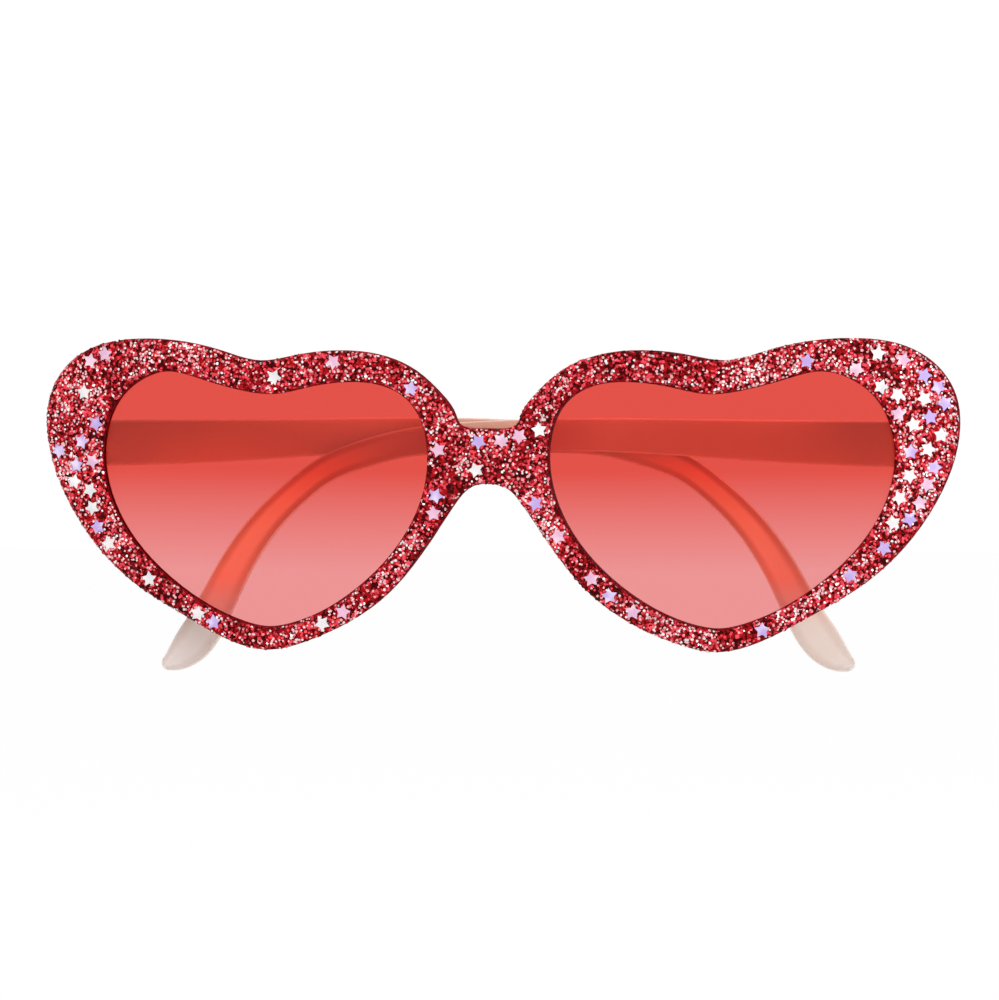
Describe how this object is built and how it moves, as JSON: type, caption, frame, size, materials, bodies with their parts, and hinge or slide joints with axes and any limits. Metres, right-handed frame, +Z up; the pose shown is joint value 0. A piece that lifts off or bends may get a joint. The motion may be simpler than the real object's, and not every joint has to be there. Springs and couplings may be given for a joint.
{
  "type": "heart shaped sunglasses",
  "caption": "Heart shaped novelty sunglasses with a red glitter front, scattered star sequins, tinted lenses and milky folding arms on screw hinges.",
  "frame": {"origin": "top of the nose arch, half way through the bridge's thickness", "axes": "+X to the viewer's right along the front, +Y back towards the wearer, +Z up"},
  "size_m": [0.151, 0.0275, 0.0554],
  "materials": {
    "front_plastic": "dark red moulded plastic",
    "glitter_resin": "clear resin full of red and pink flakes",
    "white_sequin": "iridescent foil",
    "pink_sequin": "iridescent foil",
    "lilac_sequin": "iridescent foil",
    "lens_tint": "graded coral tint",
    "arm_plastic": "milky translucent plastic",
    "screw_steel": "plain steel"
  },
  "bodies": {
    "front": {"front_frame": "front_plastic", "glitter_layer": "glitter_resin", "stars_white": "white_sequin", "stars_pink": "pink_sequin", "stars_lilac": "lilac_sequin", "lens_left": "lens_tint", "lens_right": "lens_tint", "hinge_screw_left": "screw_steel", "hinge_screw_right": "screw_steel"},
    "left_arm": {"temple_left": "arm_plastic"},
    "right_arm": {"temple_right": "arm_plastic"}
  },
  "joints": [
    {"name": "right_arm_hinge", "type": "hinge", "parent": "front", "child": "right_arm", "pos_m": [0.0685, 0.01731, 0.0056], "axis": [0, 0, -1], "range_deg": [0, 95]},
    {"name": "left_arm_hinge", "type": "hinge", "parent": "front", "child": "left_arm", "pos_m": [-0.0685, 0.01731, 0.0056], "axis": [0, 0, 1], "range_deg": [0, 92.5]}
  ]
}
